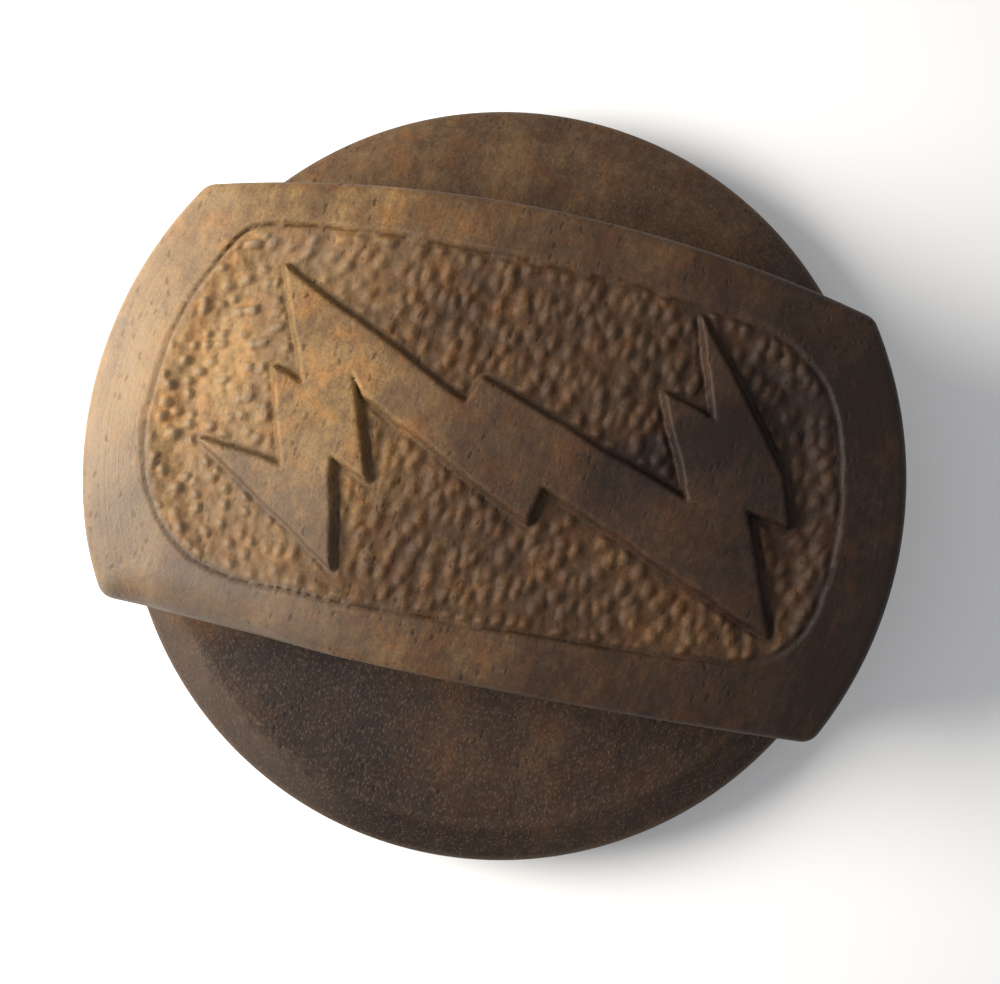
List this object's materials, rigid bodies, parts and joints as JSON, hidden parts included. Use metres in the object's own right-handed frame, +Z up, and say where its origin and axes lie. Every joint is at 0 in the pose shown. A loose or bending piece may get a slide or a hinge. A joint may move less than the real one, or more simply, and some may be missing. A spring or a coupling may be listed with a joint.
{
  "type": "dealer button",
  "caption": "Round carved wooden dealer button: a bevelled disc with a domed grip bar across it, a stippled sunk panel with zigzag bolts in relief, and felt underneath.",
  "frame": {"origin": "middle of the underside of the felt, where the button rests on the table", "axes": "+Z up through the button, +X along the grip bar, +Y towards the bar's wider side"},
  "size_m": [0.05, 0.05, 0.0162],
  "materials": {
    "walnut": "oiled and rubbed walnut, satin",
    "dowel_wood": "plain beech, unfinished",
    "steel": "turned steel, lightly oiled",
    "felt": "pressed wool felt, dark green"
  },
  "bodies": {
    "root": {"base_disc": "walnut", "grip_bar": "walnut", "locating_dowels": "dowel_wood", "weight_slug": "steel", "felt_pad": "felt"}
  },
  "joints": []
}
